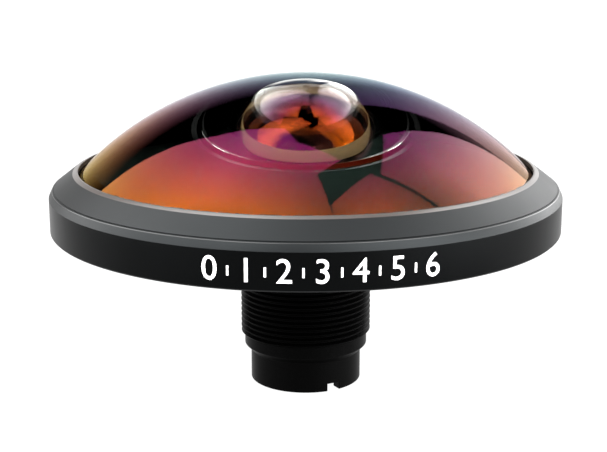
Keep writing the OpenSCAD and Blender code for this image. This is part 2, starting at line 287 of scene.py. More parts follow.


# Stains a coat, which pales at a glancing angle. Its reflection is painted fainter to the right, a painted
# shade for less light there, under a plain clear reflection like bare glass's
def weaken_coat(material, tint, wash, faint, veil_low, veil_high):
    tree = material.node_tree
    shader = tree.nodes["Principled BSDF"]
    place = add(tree, "ShaderNodeTexCoord").outputs["Object"]
    across = add(tree, "ShaderNodeSeparateXYZ", [("Vector", place)]).outputs["X"]
    facing = add(tree, "ShaderNodeLayerWeight", [("Blend", 0.5)]).outputs["Facing"]
    glance = add(tree, "ShaderNodeMapRange", [("Value", facing), ("From Min", 0.45), ("From Max", 0.8)])
    stain = add(tree, "ShaderNodeMix", [("Factor", glance.outputs["Result"]), ("A", hex_colour(tint)),
                                        ("B", hex_colour(wash))], data_type="RGBA")
    # Painted shade: the coat's reflection grows fainter towards the right
    painted_right_shade = add(tree, "ShaderNodeMapRange", [("Value", across), ("From Min", 0.1 * COAT_WIDE * MM),
                                            ("From Max", 0.4 * COAT_WIDE * MM), ("To Min", 1.0),
                                            ("To Max", faint)])
    coat = add(tree, "ShaderNodeVectorMath", [(0, stain.outputs["Result"]),
                                              ("Scale", painted_right_shade.outputs["Result"])], operation="SCALE")
    tree.links.new(coat.outputs["Vector"], shader.inputs["Specular Tint"])
    bare = add(tree, "ShaderNodeMapRange", [("Value", across), ("From Min", 0.35 * COAT_WIDE * MM),
                                            ("From Max", 0.75 * COAT_WIDE * MM), ("To Min", veil_low),
                                            ("To Max", veil_high)])
    tree.links.new(bare.outputs["Result"], shader.inputs["Coat Weight"])


# A strongly curved face of polished glass, whose coat changes its tint stop by stop from straight on to a
# glancing angle
def angled_coat(name, ior, stops):
    material, tree, shader = new_material(name, Roughness=0.0, IOR=ior, Transmission_Weight=1.0)
    place = add(tree, "ShaderNodeTexCoord").outputs["Object"]
    patches = add(tree, "ShaderNodeTexNoise", [("Vector", place), ("Scale", grain(3.0)), ("Detail", 2.0)])
    drift = add(tree, "ShaderNodeMapRange", [("Value", patches.outputs["Fac"]), ("To Min", -0.005),
                                             ("To Max", 0.005)])
    facing = add(tree, "ShaderNodeLayerWeight", [("Blend", 0.5)]).outputs["Facing"]
    angle = add(tree, "ShaderNodeMath", [(0, facing), (1, drift.outputs["Result"])], operation="ADD")
    ramp = add(tree, "ShaderNodeValToRGB", [("Fac", angle.outputs["Value"])])
    for index, (at, colour) in enumerate(stops):
        stop = ramp.color_ramp.elements[index] if index < 2 else ramp.color_ramp.elements.new(at)
        stop.position = at
        stop.color = hex_colour(colour)
    tree.links.new(ramp.outputs["Color"], shader.inputs["Specular Tint"])
    return material


# The coated hollow back of a lens with only darkness behind it: black that mirrors in the coat's tint,
# orange at its edge and wine red on top, and clears when it is seen straight on
def coated_black(name, edge, top, clear, z_low, z_high):
    material, tree, shader = new_material(name, Roughness=0.02, Metallic=1.0)
    place = add(tree, "ShaderNodeTexCoord").outputs["Object"]
    axes = add(tree, "ShaderNodeSeparateXYZ", [("Vector", place)])
    slope = add(tree, "ShaderNodeMapRange", [("Value", axes.outputs["Z"]), ("From Min", z_low * MM),
                                             ("From Max", z_high * MM)])
    tint = add(tree, "ShaderNodeMix", [("Factor", slope.outputs["Result"]), ("A", hex_colour(edge)),
                                       ("B", hex_colour(top))], data_type="RGBA")
    facing = add(tree, "ShaderNodeLayerWeight", [("Blend", 0.5)]).outputs["Facing"]
    angle = add(tree, "ShaderNodeMapRange", [("Value", facing), ("From Min", 0.075), ("From Max", 0.125)])
    coat = add(tree, "ShaderNodeMix", [("Factor", angle.outputs["Result"]), ("A", hex_colour(clear)),
                                       ("B", tint.outputs["Result"])], data_type="RGBA")
    tree.links.new(coat.outputs["Result"], shader.inputs["Base Color"])
    return material


# Black lacquer brushed on a lens's edge and back to stop stray light: dull, with faint brush streaks. On the
# front side it carries a painted sheen, a lighter tint standing in for the light it catches there
def edge_lacquer(name, level, rough, dark="#090e0b", light="#0c1210"):
    material, tree, shader = new_material(name, Specular_IOR_Level=level)
    place = add(tree, "ShaderNodeTexCoord").outputs["Object"]
    axes = add(tree, "ShaderNodeSeparateXYZ", [("Vector", place)])
    strokes = add(tree, "ShaderNodeTexNoise", [("Vector", place), ("Scale", grain(0.6)), ("Detail", 5.0)])
    streaked_sheen = add(tree, "ShaderNodeMix", [("Factor", strokes.outputs["Fac"]), ("A", hex_colour(dark)),
                                       ("B", hex_colour(light))], data_type="RGBA")
    # Painted sheen: the lighter tint in front of the axis turns black behind it
    depth = add(tree, "ShaderNodeMapRange", [("Value", axes.outputs["Y"]),
                                             ("From Min", -LACQUER_SHEEN_FULL * MM),
                                             ("From Max", -LACQUER_SHEEN_GONE * MM)])
    ink = add(tree, "ShaderNodeMix", [("Factor", depth.outputs["Result"]), ("A", streaked_sheen.outputs["Result"]),
                                      ("B", hex_colour("#000000"))], data_type="RGBA")
    tree.links.new(ink.outputs["Result"], shader.inputs["Base Color"])
    dull = add(tree, "ShaderNodeMapRange", [("Value", strokes.outputs["Fac"]), ("To Min", rough - 0.04),
                                            ("To Max", rough + 0.04)])
    tree.links.new(dull.outputs["Result"], shader.inputs["Roughness"])
    return material


# Fine-ground glass left bare on an edge: a pale frosted skin with a warm tint from the coat's overspray. Its
# pits are drawn coarser than the real ones, so that they show.
def ground_glass(name, dark, light):
    material, tree, shader = new_material(name, Roughness=0.55, IOR=1.5)
    place = add(tree, "ShaderNodeTexCoord").outputs["Object"]
    pits = add(tree, "ShaderNodeTexNoise", [("Vector", place), ("Scale", grain(0.15)), ("Detail", 4.0)])
    frost = add(tree, "ShaderNodeMix", [("Factor", pits.outputs["Fac"]), ("A", hex_colour(dark)),
                                        ("B", hex_colour(light))], data_type="RGBA")
    tree.links.new(frost.outputs["Result"], shader.inputs["Base Color"])
    relief = add(tree, "ShaderNodeBump", [("Height", pits.outputs["Fac"]), ("Distance", 0.003 * MM)])
    tree.links.new(relief.outputs["Normal"], shader.inputs["Normal"])
    return material


# Moulded black nitrile rubber: a soft dull skin with a slight bloom
def nitrile_rubber():
    material, tree, shader = new_material("moulded_black_rubber", Specular_IOR_Level=0.15)
    place = add(tree, "ShaderNodeTexCoord").outputs["Object"]
    bloom = add(tree, "ShaderNodeTexNoise", [("Vector", place), ("Scale", grain(0.8)), ("Detail", 4.0)])
    skin = add(tree, "ShaderNodeMix", [("Factor", bloom.outputs["Fac"]), ("A", hex_colour("#050505")),
                                       ("B", hex_colour("#101010"))], data_type="RGBA")
    tree.links.new(skin.outputs["Result"], shader.inputs["Base Color"])
    dull = add(tree, "ShaderNodeMapRange", [("Value", bloom.outputs["Fac"]), ("To Min", 0.55),
                                            ("To Max", 0.75)])
    tree.links.new(dull.outputs["Result"], shader.inputs["Roughness"])
    return material


# White pad-printed ink: flat, opaque and a little uneven where the pad lifted
def pad_print():
    material, tree, shader = new_material("white_pad_print_ink", Specular_IOR_Level=0.3)
    place = add(tree, "ShaderNodeTexCoord").outputs["Object"]
    lift = add(tree, "ShaderNodeTexNoise", [("Vector", place), ("Scale", grain(0.25)), ("Detail", 3.0)])
    ink = add(tree, "ShaderNodeMix", [("Factor", lift.outputs["Fac"]), ("A", hex_colour("#d8d8d6")),
                                      ("B", hex_colour("#f4f4f2"))], data_type="RGBA")
    tree.links.new(ink.outputs["Result"], shader.inputs["Base Color"])
    dull = add(tree, "ShaderNodeMapRange", [("Value", lift.outputs["Fac"]), ("To Min", 0.4), ("To Max", 0.6)])
    tree.links.new(dull.outputs["Result"], shader.inputs["Roughness"])
    return material


# Sizes that the glass and its materials share
seat = low("front_dome")
dome_r = radius("front_dome")
dome_top = seat + DOME_EDGE
dome_centre = dome_top - rise(DOME_RADIUS, dome_r)
second_z = low("second_lens")
flange_r = radius("second_lens")
second_r = flange_r - FLANGE_W
second_centre = second_z + SECOND_RISE
flange_top = second_z + FLANGE_H
back_z = second_z + SECOND_RECESS
mouth_r = second_r + HOLLOW_ROOM
hollow_centre = seat + HOLLOW_RISE
hollow_r = math.hypot(mouth_r, HOLLOW_RISE)

# The ring and band reflect with a painted cool tint of the light
RING_BLACK = anodised("bead_blasted_black_aluminium", "#000000", "#010101", 0.45, 0.105, 0.11, 0.0012,
                      light_tint="#f1fbff")
BAND_BLACK = anodised("fine_turned_black_aluminium", "#000000", "#010101", 0.32, 0.05, 0.11, 0.0012,
                      light_tint="#f1fbff")
CELL_BLACK = anodised("turned_black_aluminium", "#000000", "#010101", 0.38, 0.05, 0.16, 0.002)
# The lip is glossier than the ring, and its lighter colour is a painted highlight
LIP_EDGE = anodised("glossy_lip_painted_highlight", "#1e1a18", "#26211e", 0.3, 0.6, 0.11, 0.0006)
# A thin strip at the chamfer's edge is glossier and a little lighter: a painted glint
GLINT_EDGE = anodised("glossy_black_edge_painted_glint", "#030303", "#060606", 0.3, 0.25, 0.11, 0.0006)
BARREL_BLACK = anodised("matte_black_aluminium", "#000000", "#010101", 0.36, 0.025, 0.13, 0.002)
INNER_BLACK = anodised("blackened_brass_spacer", "#040404", "#080706", 0.5, 0.1, 0.2, 0.002)
BROWN_BRASS = anodised("oxidised_brass_ring", "#1a0502", "#220802", 0.5, 0.08, 0.2, 0.002)
STOP_BLACK = anodised("black_coated_steel_foil", "#040404", "#070707", 0.6, 0.1, 0.3, 0.001)
DOME_GLASS = coated_glass("coated_crown_glass_dome", 1.52, 154.0, 433.0, dome_centre,
                          dome_centre + DOME_RADIUS, uneven=0.06)
# The dome's coat reflection is painted fainter to its right side, a painted shade
weaken_coat(DOME_GLASS, tint="#d39ca3", wash="#c9ca90", faint=0.6, veil_low=0.01, veil_high=0.13)
HOLLOW_GLASS = angled_coat("coated_crown_glass_hollow", 1.52, [(0.0, "#281616"), (0.24, "#301c1c"),
                                                               (0.3, "#3a3434")])
SECOND_GLASS = angled_coat("coated_flint_glass", 1.8, [(0.0, "#c05a12"), (0.04, "#b84420"),
                                                       (0.09, "#9a3048"), (0.18, "#8a4a78"),
                                                       (0.3, "#b08aa8"), (0.5, "#f0dce4"),
                                                       (0.65, "#ffffff")])
SECOND_DARK = coated_black("coated_lens_back", "#5c2402", "#50180c", "#0a0302", back_z,
                           second_z + BACK_TINT_H)
INNER_GLASS = coated_glass("coated_inner_glass", 1.6, 340.0, 380.0, 0.0, second_z)
FILTER_GLASS = coated_glass("infrared_filter_glass", 1.52, 560.0, 600.0, 0.0, second_z, 1.7)
FILTER_GLASS.node_tree.nodes["Principled BSDF"].inputs["Base Color"].default_value = hex_colour("#dff2ee")
# All three lacquers carry the painted sheen on their front side
EDGE_INK = edge_lacquer("black_lens_edge_lacquer", 0.0, 0.45)
MOUTH_INK = edge_lacquer("wiped_lens_edge_lacquer", 0.022, 0.1)
BEVEL_INK = edge_lacquer("red_brown_bevel_lacquer", 0.0, 0.45, "#200401", "#2a0602")
FROSTED_EDGE = ground_glass("frosted_glass_edge", "#654a20", "#92764d")
RUBBER = nitrile_rubber()
PRINT = pad_print()


# A half outline in the XZ plane, drawn from point to point and turned into a closed mesh
class Outline:
    def __init__(self, r, z):
        self.bm = bmesh.new()
        self.last = self.bm.verts.new((r * MM, 0, z * MM))
        self.first = self.last

    def to(self, r, z):
        vert = self.bm.verts.new((r * MM, 0, z * MM))
        self.bm.edges.new((self.last, vert))
        self.last = vert
        return self

    def arc(self, centre, r, z, steps):
        start = math.atan2(self.last.co.x, self.last.co.z - centre * MM)
        end = math.atan2(r, z - centre)
        made = bmesh.ops.spin(self.bm, geom=[self.last], cent=(0, 0, centre * MM), axis=(0, 1, 0),
                              angle=end - start, steps=steps)
        self.last = next(g for g in made["geom_last"] if isinstance(g, bmesh.types.BMVert))
        return self

    def close(self):
        self.bm.edges.new((self.last, self.first))
        return self

    def turned(self, steps=ROUND_STEPS):
        bmesh.ops.spin(self.bm, geom=self.bm.verts[:] + self.bm.edges[:], cent=(0, 0, 0), axis=(0, 0, 1),
                       angle=TURN, steps=steps, use_merge=True)
        bmesh.ops.remove_doubles(self.bm, verts=self.bm.verts, dist=MERGE_TURNED * MM)
        bmesh.ops.recalc_face_normals(self.bm, faces=self.bm.faces)
        return self.bm


# Rounds the sharp edges of a turned piece, as a deburring tool does
def break_edges(bm, size, angle=math.radians(20)):
    sharp = [e for e in bm.edges if len(e.link_faces) == 2 and e.calc_face_angle() > angle]
    bmesh.ops.bevel(bm, geom=sharp, offset=size * MM, affect="EDGES", segments=3, profile=0.5, material=-1,
                    clamp_overlap=True)


def finish_piece(name, bm, body, materials, replaced=None, sharp=math.radians(7)):
    bmesh.ops.remove_doubles(bm, verts=bm.verts, dist=MERGE_PIECE * MM)
    bmesh.ops.recalc_face_normals(bm, faces=bm.faces)
    for face in bm.faces:
        face.smooth = True
    for edge in bm.edges:
        if len(edge.link_faces) == 2 and edge.calc_face_angle() > sharp:
            edge.smooth = False
    mesh = bpy.data.meshes.new(name)
    bm.to_mesh(mesh)
    bm.free()
    for material in materials:
        mesh.materials.append(material)
    piece = bpy.data.objects.new(name, mesh)
    bpy.context.scene.collection.objects.link(piece)
    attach(piece, body)
    if replaced:
        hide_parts(replaced)
    return piece


# Cuts a slot right across the axis, through both walls of a ring
def cut_across(bm, reach, width, bottom, top, angle):
    mesh = bpy.data.meshes.new("uncut")
    bm.to_mesh(mesh)
    ring = bpy.data.objects.new("uncut", mesh)
    cutter_bm = bmesh.new()
    bmesh.ops.create_cube(cutter_bm, size=1.0)
    bmesh.ops.scale(cutter_bm, vec=(2 * reach * MM, width * MM, (top - bottom) * MM), verts=cutter_bm.verts)
    bmesh.ops.rotate(cutter_bm, cent=(0, 0, 0), matrix=Matrix.Rotation(angle, 3, "Z"), verts=cutter_bm.verts)
    bmesh.ops.translate(cutter_bm, vec=(0, 0, (top + bottom) / 2 * MM), verts=cutter_bm.verts)
    cutter_mesh = bpy.data.meshes.new("cutter")
    cutter_bm.to_mesh(cutter_mesh)
    cutter_bm.free()
    cutter = bpy.data.objects.new("cutter", cutter_mesh)
    for made in (ring, cutter):
        bpy.context.scene.collection.objects.link(made)
    cut = ring.modifiers.new("slot", "BOOLEAN")
    cut.object = cutter
    cut.operation = "DIFFERENCE"
    cut.solver = "EXACT"
    result = bpy.data.meshes.new_from_object(ring.evaluated_get(bpy.context.evaluated_depsgraph_get()))
    for made in (ring, cutter):
        bpy.data.objects.remove(made)
    bm.clear()
    bm.from_mesh(result)
    return bm


# A thread ridge wound between two heights, which runs out into the wall at both ends
def thread_ridge(crest, root, pitch, bottom, top, sink=0.02, run_out=0.6):
    bm = bmesh.new()
    half = pitch * THREAD_HALF
    flat = pitch * THREAD_FLAT
    inner = root - math.copysign(sink, crest - root)
    start = bottom + half
    corners = [(inner, -half), (crest, -flat), (crest, flat), (inner, half)]
    verts = [bm.verts.new((r * MM, 0, (start + z) * MM)) for r, z in corners]
    edges = [bm.edges.new((verts[i], verts[(i + 1) % 4])) for i in range(4)]
    turns = (top - bottom - 2 * half) / pitch
    steps = round(turns * THREAD_STEPS)
    made = bmesh.ops.spin(bm, geom=verts + edges, cent=(0, 0, 0), axis=(0, 0, 1), angle=turns * TURN,
                          steps=steps, dvec=(0, 0, turns * pitch / steps * MM))
    for ring in (edges, [g for g in made["geom_last"] if isinstance(g, bmesh.types.BMEdge)]):
        bmesh.ops.contextual_create(bm, geom=ring)
    for vert in bm.verts:
        r = math.hypot(vert.co.x, vert.co.y) / MM
        turn = (vert.co.z / MM - start) / pitch
        grown = min(1.0, max(THREAD_MIN, min(turn, turns - turn) / run_out))
        scale = (inner + (r - inner) * grown) / r
        vert.co.x *= scale
        vert.co.y *= scale
    return bm


# Front dome: lacquered on its side, its back and the mouth's bevel, short of the hollow's edge
bevel_r = mouth_r + MOUTH_BEVEL
bevel_z = seat + MOUTH_BEVEL
hollow_edge = rise(hollow_r, bevel_z - hollow_centre)
line_r = hollow_edge + MOUTH_LINE
line_z = bevel_z - MOUTH_LINE * MOUTH_BEVEL / (bevel_r - hollow_edge)
outline = Outline(0, dome_centre + DOME_RADIUS)
outline.arc(dome_centre, dome_r, dome_top, DOME_STEPS)
outline.to(dome_r, seat + EDGE_BEVEL).to(dome_r - EDGE_BEVEL, seat)
outline.to(bevel_r + WIPED_RING, seat).to(bevel_r, seat).to(line_r, line_z).to(hollow_edge, bevel_z)
outline.arc(hollow_centre, 0, hollow_centre + hollow_r, DOME_STEPS)
bm = outline.turned()
coats = [DOME_GLASS, EDGE_INK, HOLLOW_GLASS, MOUTH_INK, BEVEL_INK]
for face in bm.faces:
    middle = face.calc_center_median() / MM
    r = math.hypot(middle.x, middle.y)
    lacquered_side = r > dome_r - EDGE_BEVEL and middle.z < dome_top - 2 * TOUCH
    lacquered_back = r > line_r and middle.z < line_z
    if lacquered_back and bevel_r < r < bevel_r + WIPED_RING:
        face.material_index = coats.index(MOUTH_INK)
    elif lacquered_back and r < bevel_r:
        face.material_index = coats.index(BEVEL_INK)
    elif lacquered_back or lacquered_side:
        face.material_index = coats.index(EDGE_INK)
    elif math.hypot(r, middle.z - hollow_centre) < hollow_r + HOLLOW_REACH:
        face.material_index = coats.index(HOLLOW_GLASS)
finish_piece("front_dome_glass", bm, "lens_body", coats, "front_dome")

# Second lens: a tall meniscus on a moulded foot, ground flat round its hollow back
foot_r = flange_r - FOOT_W
back_centre = back_z - rise(SECOND_BACK, SECOND_BACK_HALF)
outline = Outline(0, second_centre + second_r)
outline.arc(second_centre, rise(second_r, second_centre - flange_top), flange_top, DOME_STEPS)
outline.to(flange_r, flange_top).to(flange_r, second_z).to(foot_r, second_z)
outline.to(foot_r, back_z).to(SECOND_BACK_HALF, back_z)
outline.arc(back_centre, 0, back_centre + SECOND_BACK, BACK_STEPS)
bm = outline.turned()
coats = [SECOND_GLASS, EDGE_INK, FROSTED_EDGE, SECOND_DARK]
for face in bm.faces:
    middle = face.calc_center_median() / MM
    r = math.hypot(middle.x, middle.y)
    if r > SECOND_BACK_HALF and abs(middle.z - back_z) < TOUCH:
        face.material_index = coats.index(FROSTED_EDGE)
    elif r > foot_r - TOUCH and middle.z < flange_top + TOUCH:
        face.material_index = coats.index(EDGE_INK)
    elif math.hypot(r, middle.z - back_centre) < SECOND_BACK + TOUCH:
        face.material_index = coats.index(SECOND_DARK)
finish_piece("second_lens_glass", bm, "lens_body", coats, "second_lens")

# Front ring: band, chamfer, cone and lip, with every edge broken
ring_low = low("front_ring")
ring_high = high("front_ring")
ring_r = radius("front_ring") - PRINT_T
ring_bore = radius("front_ring") - RING_WALL
lip_under = DOME_RADIUS + 2 * FACE_GAP + GASKET_T
lip_low = dome_centre + rise(lip_under, LIP_R + LIP_NOSE)
shoulder = dome_top - RIM_DROP + 4 * FACE_GAP
shoulder_in = rise(lip_under, shoulder - dome_centre)
bore_root = ring_bore + CELL_THREAD_DEPTH
edge_r = ring_r - RING_CHAMFER_W
edge_z = ring_low + BAND_H + RING_CHAMFER_H
land_r = LIP_R + LIP_LAND
nose_r = LIP_R + LIP_NOSE
nose_z = dome_centre + rise(DOME_RADIUS, LIP_R) + NOSE_GAP
outline = Outline(bore_root, ring_low)
outline.to(ring_r - RING_BREAK, ring_low).to(ring_r, ring_low + RING_BREAK).to(ring_r, ring_low + BAND_H)
outline.to(edge_r, edge_z).to(land_r + BEAD_W, ring_high - BEAD_H).to(land_r, ring_high)
outline.to(LIP_R, ring_high).to(LIP_R, nose_z).to(nose_r, nose_z).to(nose_r, lip_low)
outline.arc(dome_centre, shoulder_in, shoulder, LIP_STEPS)
outline.to(bore_root, shoulder).close()
bm = outline.turned()
break_edges(bm, RING_EDGE_R)
ring_groove_z = edge_z + GROOVE_UP + GROOVE_W / 2
for step in range(3):
    cut_z = edge_z + GROOVE_UP + step * GROOVE_W / 2
    bmesh.ops.bisect_plane(bm, geom=bm.verts[:] + bm.edges[:] + bm.faces[:], plane_co=(0, 0, cut_z * MM),
                           plane_no=(0, 0, 1))
for vert in bm.verts:
    r = math.hypot(vert.co.x, vert.co.y) / MM
    if r > ring_bore and abs(vert.co.z / MM - ring_groove_z) < TOUCH / 10:
        vert.co.x *= 1 - GROOVE_DEPTH / r
        vert.co.y *= 1 - GROOVE_DEPTH / r
finishes = [RING_BLACK, GLINT_EDGE, BAND_BLACK, LIP_EDGE]
for face in bm.faces:
    middle = face.calc_center_median() / MM
    r = math.hypot(middle.x, middle.y)
    # The lip and its bead take the painted highlight
    on_bead = r < land_r + BEAD_W and middle.z > ring_high - BEAD_H
    if on_bead or r < LIP_R + TOUCH:
        face.material_index = finishes.index(LIP_EDGE)
    # Painted glint along the chamfer's top edge
    elif math.hypot(r - edge_r, middle.z - edge_z) < EDGE_GLINT:
        face.material_index = finishes.index(GLINT_EDGE)
    elif r > ring_r - TOUCH:
        face.material_index = finishes.index(BAND_BLACK)
    else:
        face.material_index = finishes.index(RING_BLACK)
finish_piece("front_ring_shell", bm, "ring", finishes, "front_ring")
bm = thread_ridge(ring_bore, bore_root, CELL_PITCH, ring_low + THREAD_FOOT, shoulder - THREAD_HEAD)
finish_piece("front_ring_thread", bm, "ring", [RING_BLACK])

# Printed scale: plain numbers and ticks round the front of the band
scale_bm = bmesh.new()
middle_z = ring_low + BAND_H / 2
for index in range(NUMERAL_COUNT):
    curve = bpy.data.curves.new("numeral", "FONT")
    curve.body = str(index)
    curve.size = NUMERAL_SIZE * MM
    curve.align_x = "CENTER"
    curve.align_y = "CENTER"
    letter = bpy.data.objects.new("numeral", curve)
    bpy.context.scene.collection.objects.link(letter)
    flat = bpy.data.meshes.new_from_object(letter.evaluated_get(bpy.context.evaluated_depsgraph_get()))
    bpy.data.objects.remove(letter)
    bm = bmesh.new()
    bm.from_mesh(flat)
    around = ((index - (NUMERAL_COUNT - 1) / 2) * NUMERAL_STEP + NUMERAL_TURN) * ring_r * MM
    bmesh.ops.translate(bm, vec=(around, middle_z * MM, 0), verts=bm.verts)
    if index:
        tick = bmesh.ops.create_grid(bm, x_segments=1, y_segments=1, size=0.5)["verts"]
        bmesh.ops.scale(bm, vec=(TICK_W * MM, TICK_H * MM, 1), verts=tick)
        bmesh.ops.translate(bm, vec=(around - NUMERAL_STEP * ring_r * MM / 2, middle_z * MM, 0), verts=tick)
    flat.clear_geometry()
    bm.to_mesh(flat)
    bm.free()
    scale_bm.from_mesh(flat)
bmesh.ops.remove_doubles(scale_bm, verts=scale_bm.verts, dist=MERGE_PRINT * MM)
for cut in range(-PRINT_CUTS, PRINT_CUTS + 1):
    bmesh.ops.bisect_plane(scale_bm, geom=scale_bm.verts[:] + scale_bm.edges[:] + scale_bm.faces[:],
                           plane_co=(cut * PRINT_FACET * MM, 0, 0), plane_no=(1, 0, 0))
for vert in scale_bm.verts:
    angle = vert.co.x / (ring_r * MM)
    vert.co = Vector((math.sin(angle) * ring_r * MM, -math.cos(angle) * ring_r * MM, vert.co.y))
bmesh.ops.recalc_face_normals(scale_bm, faces=scale_bm.faces)
bmesh.ops.solidify(scale_bm, geom=scale_bm.faces, thickness=PRINT_T * MM)
finish_piece("front_ring_scale", scale_bm, "ring", [PRINT])

# Gasket under the lip
gasket_in = DOME_RADIUS + FACE_GAP
gasket_out = gasket_in + GASKET_T
outline = Outline(land_r, dome_centre + rise(gasket_in, land_r))
outline.arc(dome_centre, dome_r, dome_centre + rise(gasket_in, dome_r), GASKET_STEPS)
outline.to(dome_r, dome_centre + rise(gasket_out, dome_r))
outline.arc(dome_centre, land_r, dome_centre + rise(gasket_out, land_r), GASKET_STEPS).close()
finish_piece("front_gasket_band", outline.turned(), "gasket", [RUBBER], "front_gasket")

# Cell: dished disc with a threaded rim, a seal groove and a bored hub
cell_low = low("front_cell")
cell_r = radius("front_cell")
rim_top = high("front_cell")
land_bore = LAND_R + LENS_CLEAR
second_bore = flange_r + LENS_CLEAR
retainer_r = second_bore + RETAINER_STEP
retainer_bore = retainer_r + FIT_CLEAR
head_r = retainer_bore + HEAD_WALL
head_z = second_z - HEAD_FLOOR
head_bore = head_r + LENS_CLEAR
cell_root = cell_r - CELL_THREAD_DEPTH
seal_r = dome_r - SEAT_W / 2
groove_half = SEAL_CORD / 2 + SEAL_ROOM
groove_z = low("dome_seal") - FACE_GAP
flange_z = cell_low + CELL_FLANGE_H
outline = Outline(land_bore, cell_low)
outline.to(cell_r, cell_low).to(cell_r, flange_z).to(cell_root, flange_z)
outline.to(cell_root, rim_top).to(RIM_BORE, rim_top).to(RIM_BORE, seat).to(seal_r + groove_half, seat)
outline.to(seal_r + groove_half, groove_z).to(seal_r - groove_half, groove_z).to(seal_r - groove_half, seat)
outline.to(dome_r - SEAT_W, seat).to(dome_r - SEAT_W, seat - SEAT_RELIEF).to(head_bore, seat - SEAT_RELIEF)
outline.to(head_bore, head_z).to(land_bore, head_z).close()
bm = outline.turned()
break_edges(bm, CELL_EDGE_R)
finish_piece("front_cell_dish", bm, "lens_body", [CELL_BLACK], "front_cell")
bm = thread_ridge(cell_r, cell_root, CELL_PITCH, cell_low + THREAD_FOOT, rim_top - THREAD_GAP)
finish_piece("front_cell_thread", bm, "lens_body", [CELL_BLACK])

# Barrel: spigot with two spanner notches, step, threaded stem, land and head
head_top = high("lens_barrel")
step_z = SPIGOT_LEN + STEP_R - SPIGOT_R
lead_z = step_z + STEP_LEN
lead_top = lead_z + LEAD_LEN
thread_top = cell_low - RELIEF_LEN
front_bore = radius("third_lens") + LENS_CLEAR
rear_bore = radius("aperture_stop") + LENS_CLEAR
tail_bore = radius("infrared_filter") + LENS_CLEAR
fourth_z = high("upper_stop_spacer")
doublet_z = low("doublet_rear_lens")
outline = Outline(tail_bore, 0)
outline.to(SPIGOT_R, 0).to(SPIGOT_R, SPIGOT_LEN).to(STEP_R, step_z).to(STEP_R, lead_z)
outline.to(THREAD_ROOT, lead_top).to(THREAD_ROOT, thread_top).to(RELIEF_R, thread_top).to(RELIEF_R, cell_low)
outline.to(LAND_R, cell_low).to(LAND_R, head_z).to(head_r, head_z).to(head_r, head_top)
outline.to(retainer_bore, head_top).to(retainer_bore, flange_top).to(second_bore, flange_top)
outline.to(second_bore, second_z).to(front_bore, second_z).to(front_bore, fourth_z).to(rear_bore, fourth_z)
outline.to(rear_bore, doublet_z).to(WEB_R, doublet_z).to(WEB_R, doublet_z - WEB_T)
outline.to(tail_bore, doublet_z - WEB_T).close()
bm = outline.turned(BARREL_ROUND)
bm = cut_across(bm, SPIGOT_R + CUT_PAST, NOTCH_W, -CUT_PAST, NOTCH_DEPTH, NOTCH_ANGLE)
break_edges(bm, BARREL_EDGE_R)
finish_piece("lens_barrel_body", bm, "lens_body", [BARREL_BLACK], "lens_barrel")
bm = thread_ridge(THREAD_R, THREAD_ROOT, THREAD_PITCH, lead_z + THREAD_GAP, thread_top)
finish_piece("lens_barrel_thread", bm, "lens_body", [BARREL_BLACK])

# Retaining rings with their spanner slots
retainer_z = low("second_lens_retainer")
retainer_in = second_r + FIT_CLEAR
outline = Outline(retainer_in, retainer_z)
outline.to(retainer_r, retainer_z).to(retainer_r, head_top).to(retainer_in, head_top).close()
bm = cut_across(outline.turned(), retainer_r + CUT_PAST, SLOT_W, head_top - SLOT_DEPTH, head_top + CUT_PAST,
                NOTCH_ANGLE)
break_edges(bm, RETAINER_EDGE_R)
finish_piece("second_lens_ring", bm, "lens_body", [BROWN_BRASS], "second_lens_retainer")
tail_low = low("rear_retaining_ring")
tail_high = high("rear_retaining_ring")
tail_r = radius("rear_retaining_ring")
outline = Outline(tail_r - TAIL_RING_WALL, tail_low)
outline.to(tail_r, tail_low).to(tail_r, tail_high).to(tail_r - TAIL_RING_WALL, tail_high).close()
bm = cut_across(outline.turned(), tail_r + CUT_PAST, SLOT_W, tail_low - CUT_PAST, tail_low + SLOT_DEPTH,
                NOTCH_ANGLE)
break_edges(bm, RETAINER_EDGE_R)
finish_piece("rear_slotted_ring", bm, "lens_body", [INNER_BLACK], "rear_retaining_ring")


# Inner lenses: a positive radius stands out from the rim and a negative one sinks in
def inner_lens(name, node, glass, front, front_half, back, back_half):
    front_sag = abs(front) - rise(front, front_half)
    back_sag = abs(back) - rise(back, back_half)
    r = radius(node)
    rim_high = high(node) - (front_sag if front > 0 else 0)
    rim_low = low(node) + (back_sag if back > 0 else 0)
    front_apex = rim_high + math.copysign(front_sag, front)
    back_apex = rim_low - math.copysign(back_sag, back)
    outline = Outline(0, front_apex)
    outline.arc(front_apex - front, front_half, rim_high, LENS_STEPS)
    outline.to(r, rim_high).to(r, rim_low).to(back_half, rim_low)
    outline.arc(back_apex + back, 0, back_apex, LENS_STEPS)
    bm = outline.turned(LENS_ROUND)
    for face in bm.faces:
        middle = face.calc_center_median() / MM
        face.material_index = int(math.hypot(middle.x, middle.y) > r - TOUCH)
    finish_piece(name, bm, "lens_body", [glass, EDGE_INK], node)


inner_lens("third_lens_glass", "third_lens", INNER_GLASS, -25.0, 4.1, -3.9, 3.2)
inner_lens("fourth_lens_glass", "fourth_lens", INNER_GLASS, 6.2, 3.9, 20.0, 3.2)
inner_lens("rear_lens_glass", "rear_lens", INNER_GLASS, 9.0, 2.86, 8.0, 3.31)

# Pieces whose solids are kept as they are
KEPT = {
    "dome_seal": RUBBER, "front_spacer": INNER_BLACK, "middle_spacer": INNER_BLACK,
    "upper_stop_spacer": INNER_BLACK, "lower_stop_spacer": INNER_BLACK, "rear_spacer": INNER_BLACK,
    "aperture_stop": STOP_BLACK, "doublet_front_lens": INNER_GLASS, "doublet_rear_lens": INNER_GLASS,
    "infrared_filter": FILTER_GLASS,
}
for name, material in KEPT.items():
    NODES[name].data.materials.clear()
    NODES[name].data.materials.append(material)

